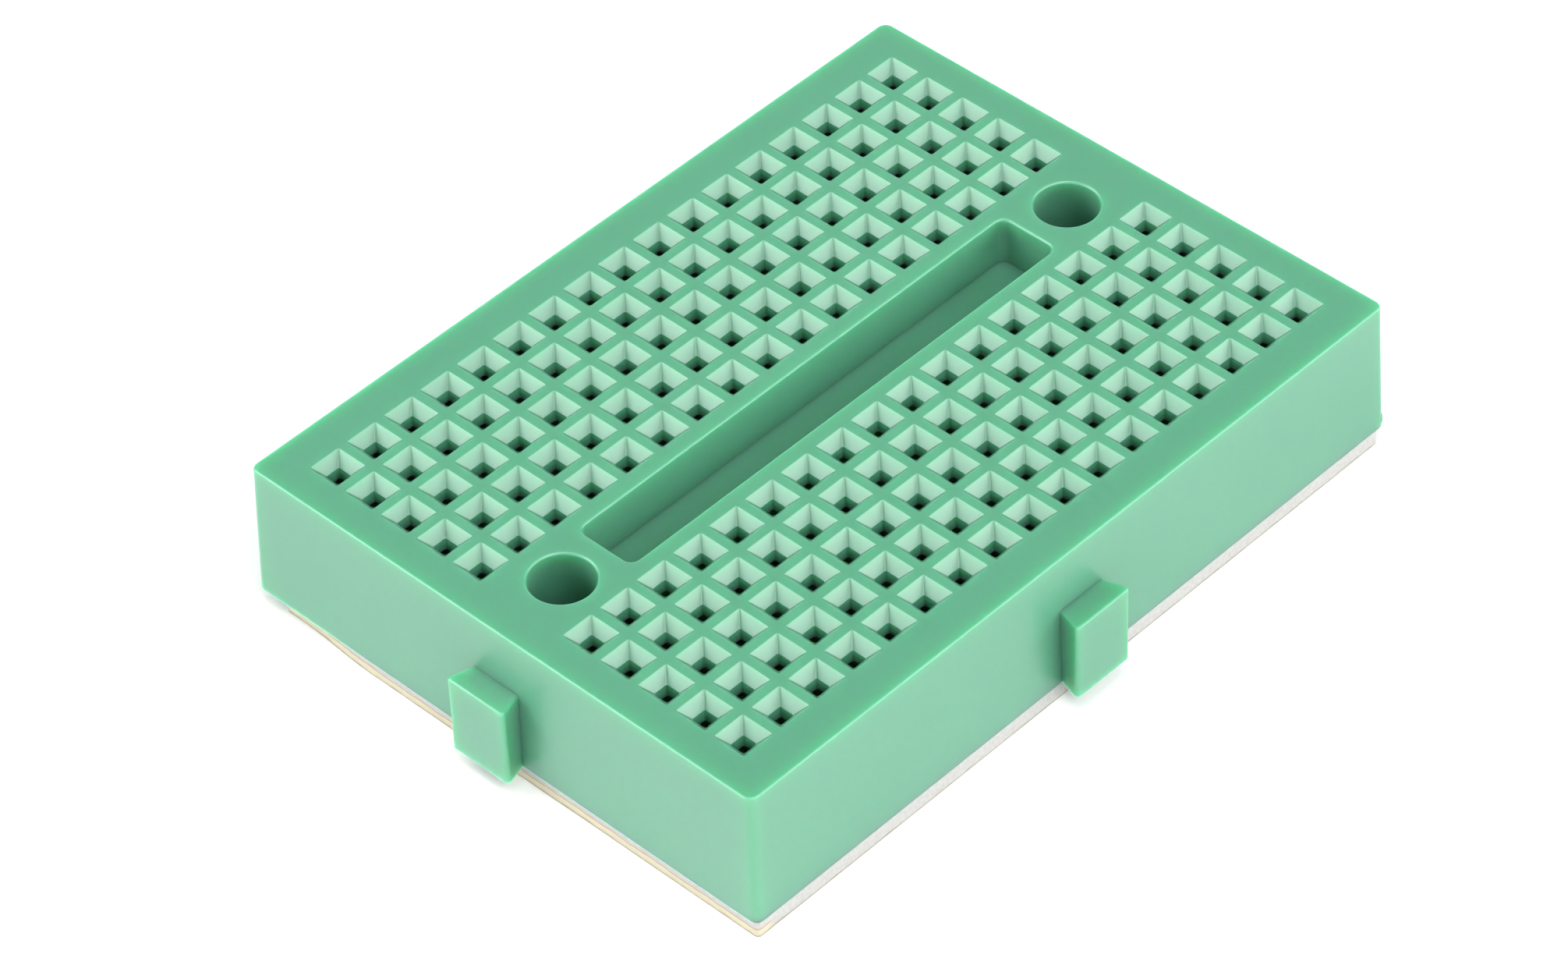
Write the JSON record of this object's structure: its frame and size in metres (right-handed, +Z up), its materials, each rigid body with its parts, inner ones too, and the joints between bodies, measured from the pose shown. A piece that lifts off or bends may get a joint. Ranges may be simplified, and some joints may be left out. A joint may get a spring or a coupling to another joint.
{
  "type": "solderless breadboard",
  "caption": "Small solderless breadboard: moulded block with banks of funnel sockets, centre channel, screw holes, interlock tabs, sprung contact clips and stick-on foam tape.",
  "frame": {"origin": "centre of the housing's footprint, on the face that rests on the bench, which is the underside of the release liner", "axes": "+X along the rows of seventeen sockets, away from the end that has a tab; +Y across the two banks, away from the side that has a tab; +Z up, out of the socket face"},
  "size_m": [0.0483, 0.0364, 0.0092],
  "materials": {
    "housing_plastic": "satin moulded ABS, pale green",
    "clip_metal": "nickel plated phosphor bronze spring strip",
    "tape_foam": "closed-cell polyethylene foam with adhesive on both faces",
    "liner_paper": "glazed release paper, pale yellow"
  },
  "bodies": {
    "board": {"housing": "housing_plastic", "contact_clip_upper_01": "clip_metal", "contact_clip_upper_02": "clip_metal", "contact_clip_upper_03": "clip_metal", "contact_clip_upper_04": "clip_metal", "contact_clip_upper_05": "clip_metal", "contact_clip_upper_06": "clip_metal", "contact_clip_upper_07": "clip_metal", "contact_clip_upper_08": "clip_metal", "contact_clip_upper_09": "clip_metal", "contact_clip_upper_10": "clip_metal", "contact_clip_upper_11": "clip_metal", "contact_clip_upper_12": "clip_metal", "contact_clip_upper_13": "clip_metal", "contact_clip_upper_14": "clip_metal", "contact_clip_upper_15": "clip_metal", "contact_clip_upper_16": "clip_metal", "contact_clip_upper_17": "clip_metal", "contact_clip_lower_01": "clip_metal", "contact_clip_lower_02": "clip_metal", "contact_clip_lower_03": "clip_metal", "contact_clip_lower_04": "clip_metal", "contact_clip_lower_05": "clip_metal", "contact_clip_lower_06": "clip_metal", "contact_clip_lower_07": "clip_metal", "contact_clip_lower_08": "clip_metal", "contact_clip_lower_09": "clip_metal", "contact_clip_lower_10": "clip_metal", "contact_clip_lower_11": "clip_metal", "contact_clip_lower_12": "clip_metal", "contact_clip_lower_13": "clip_metal", "contact_clip_lower_14": "clip_metal", "contact_clip_lower_15": "clip_metal", "contact_clip_lower_16": "clip_metal", "contact_clip_lower_17": "clip_metal", "foam_tape": "tape_foam"},
    "liner": {"release_liner": "liner_paper"}
  },
  "joints": [
    {"name": "liner_peel", "type": "slide", "parent": "liner", "child": "board", "axis": [0, 0, 1], "range_m": [0, 0.02]}
  ]
}
